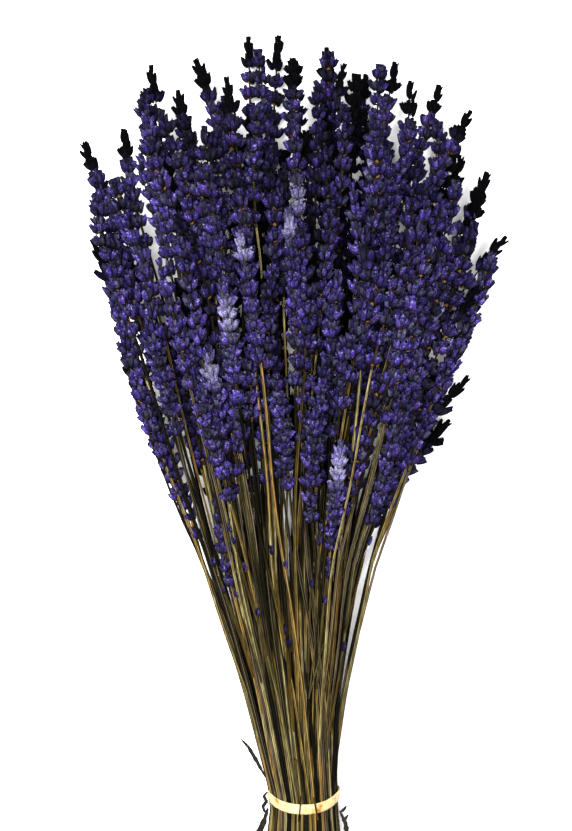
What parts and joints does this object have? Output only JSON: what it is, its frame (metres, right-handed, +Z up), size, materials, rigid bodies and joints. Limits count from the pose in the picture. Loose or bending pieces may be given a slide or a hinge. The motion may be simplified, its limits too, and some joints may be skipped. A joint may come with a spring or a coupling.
{
  "type": "dried lavender bunch",
  "caption": "Dried lavender bunch lying on its side: violet flower spikes fan out from square dry stems held near their cut ends by a pale rubber band.",
  "frame": {"origin": "on the table, under the middle of the rubber band, at the small flat spot on which the band rests", "axes": "+Z up from the table; +Y along the bunch from the band to the flowers, so the cut ends are at -Y; +X to the right as seen from above with the flowers away from the viewer"},
  "size_m": [0.2193, 0.4625, 0.1049],
  "materials": {
    "buds": "downy, dry and matte, deep violet with near-black tips",
    "stems": "dry straw, tan to olive brown, slightly silky along the grain",
    "leaves": "curled and shrivelled, dark brown, matte",
    "band": "pale natural rubber, semi-matte"
  },
  "bodies": {
    "root": {"band": "band", "leaf_1": "leaves", "leaf_2": "leaves", "leaf_3": "leaves", "spike_01": "buds", "spike_02": "buds", "spike_03": "buds", "spike_04": "buds", "spike_05": "buds", "spike_06": "buds", "spike_07": "buds", "spike_08": "buds", "spike_09": "buds", "spike_10": "buds", "spike_11": "buds", "spike_12": "buds", "spike_13": "buds", "spike_14": "buds", "spike_15": "buds", "spike_16": "buds", "spike_17": "buds", "spike_18": "buds", "spike_19": "buds", "spike_20": "buds", "spike_21": "buds", "spike_22": "buds", "spike_23": "buds", "spike_24": "buds", "spike_25": "buds", "spike_26": "buds", "stems": "stems", "twin_spikes_01": "buds", "twin_spikes_02": "buds", "twin_spikes_03": "buds", "twin_spikes_04": "buds", "twin_spikes_05": "buds", "twin_spikes_06": "buds", "twin_spikes_07": "buds", "twin_spikes_08": "buds", "twin_spikes_09": "buds", "twin_spikes_10": "buds", "twin_spikes_11": "buds", "twin_spikes_12": "buds", "twin_spikes_13": "buds", "twin_spikes_14": "buds", "twin_spikes_15": "buds", "twin_spikes_16": "buds", "twin_spikes_17": "buds", "twin_spikes_18": "buds", "twin_spikes_19": "buds", "twin_spikes_20": "buds", "twin_spikes_21": "buds", "twin_spikes_22": "buds", "twin_spikes_23": "buds", "twin_spikes_24": "buds", "twin_spikes_25": "buds", "twin_spikes_26": "buds", "twin_spikes_27": "buds", "twin_spikes_28": "buds"}
  },
  "joints": []
}
